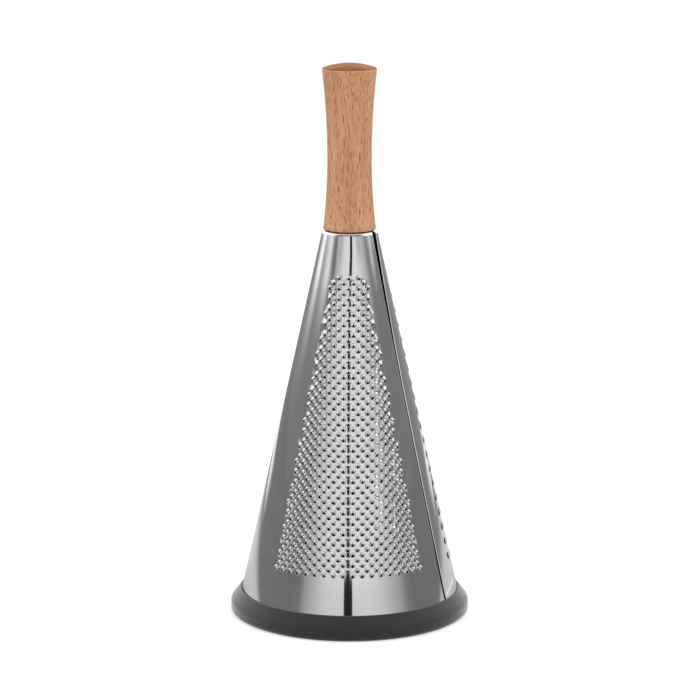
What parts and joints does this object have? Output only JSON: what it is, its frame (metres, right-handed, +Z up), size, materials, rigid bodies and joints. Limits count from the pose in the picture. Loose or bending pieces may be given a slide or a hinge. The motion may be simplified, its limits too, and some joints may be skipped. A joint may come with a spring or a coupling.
{
  "type": "cone grater",
  "caption": "Upright steel cone grater with fine, coarse and slicing zones, a waisted wooden handle on top and a soft non-slip base ring that pulls off.",
  "frame": {"origin": "on the table, on the axis of the cone, at the underside of the base ring", "axes": "+Z up along the axis of the cone towards the handle, -Y towards the middle of the fine zone, +X towards the side with the lap seam and the coarse zone"},
  "size_m": [0.115, 0.115, 0.2652],
  "materials": {
    "polished_steel": "polished stainless steel sheet with a faint grain along the slope",
    "plain_steel": "plain zinc-grey steel hardware",
    "beech": "oiled beech, turned, with short dark flecks along the grain and end grain on the dome",
    "soft_black": "matte dark grey soft plastic"
  },
  "bodies": {
    "base": {"base_ring": "soft_black"},
    "grater": {"cone_shell": "polished_steel", "handle": "beech", "handle_screw": "plain_steel", "clamp_disc": "plain_steel"}
  },
  "joints": [
    {"name": "lift_off_base", "type": "slide", "parent": "base", "child": "grater", "axis": [0, 0, 1], "range_m": [0, 0.012]}
  ]
}
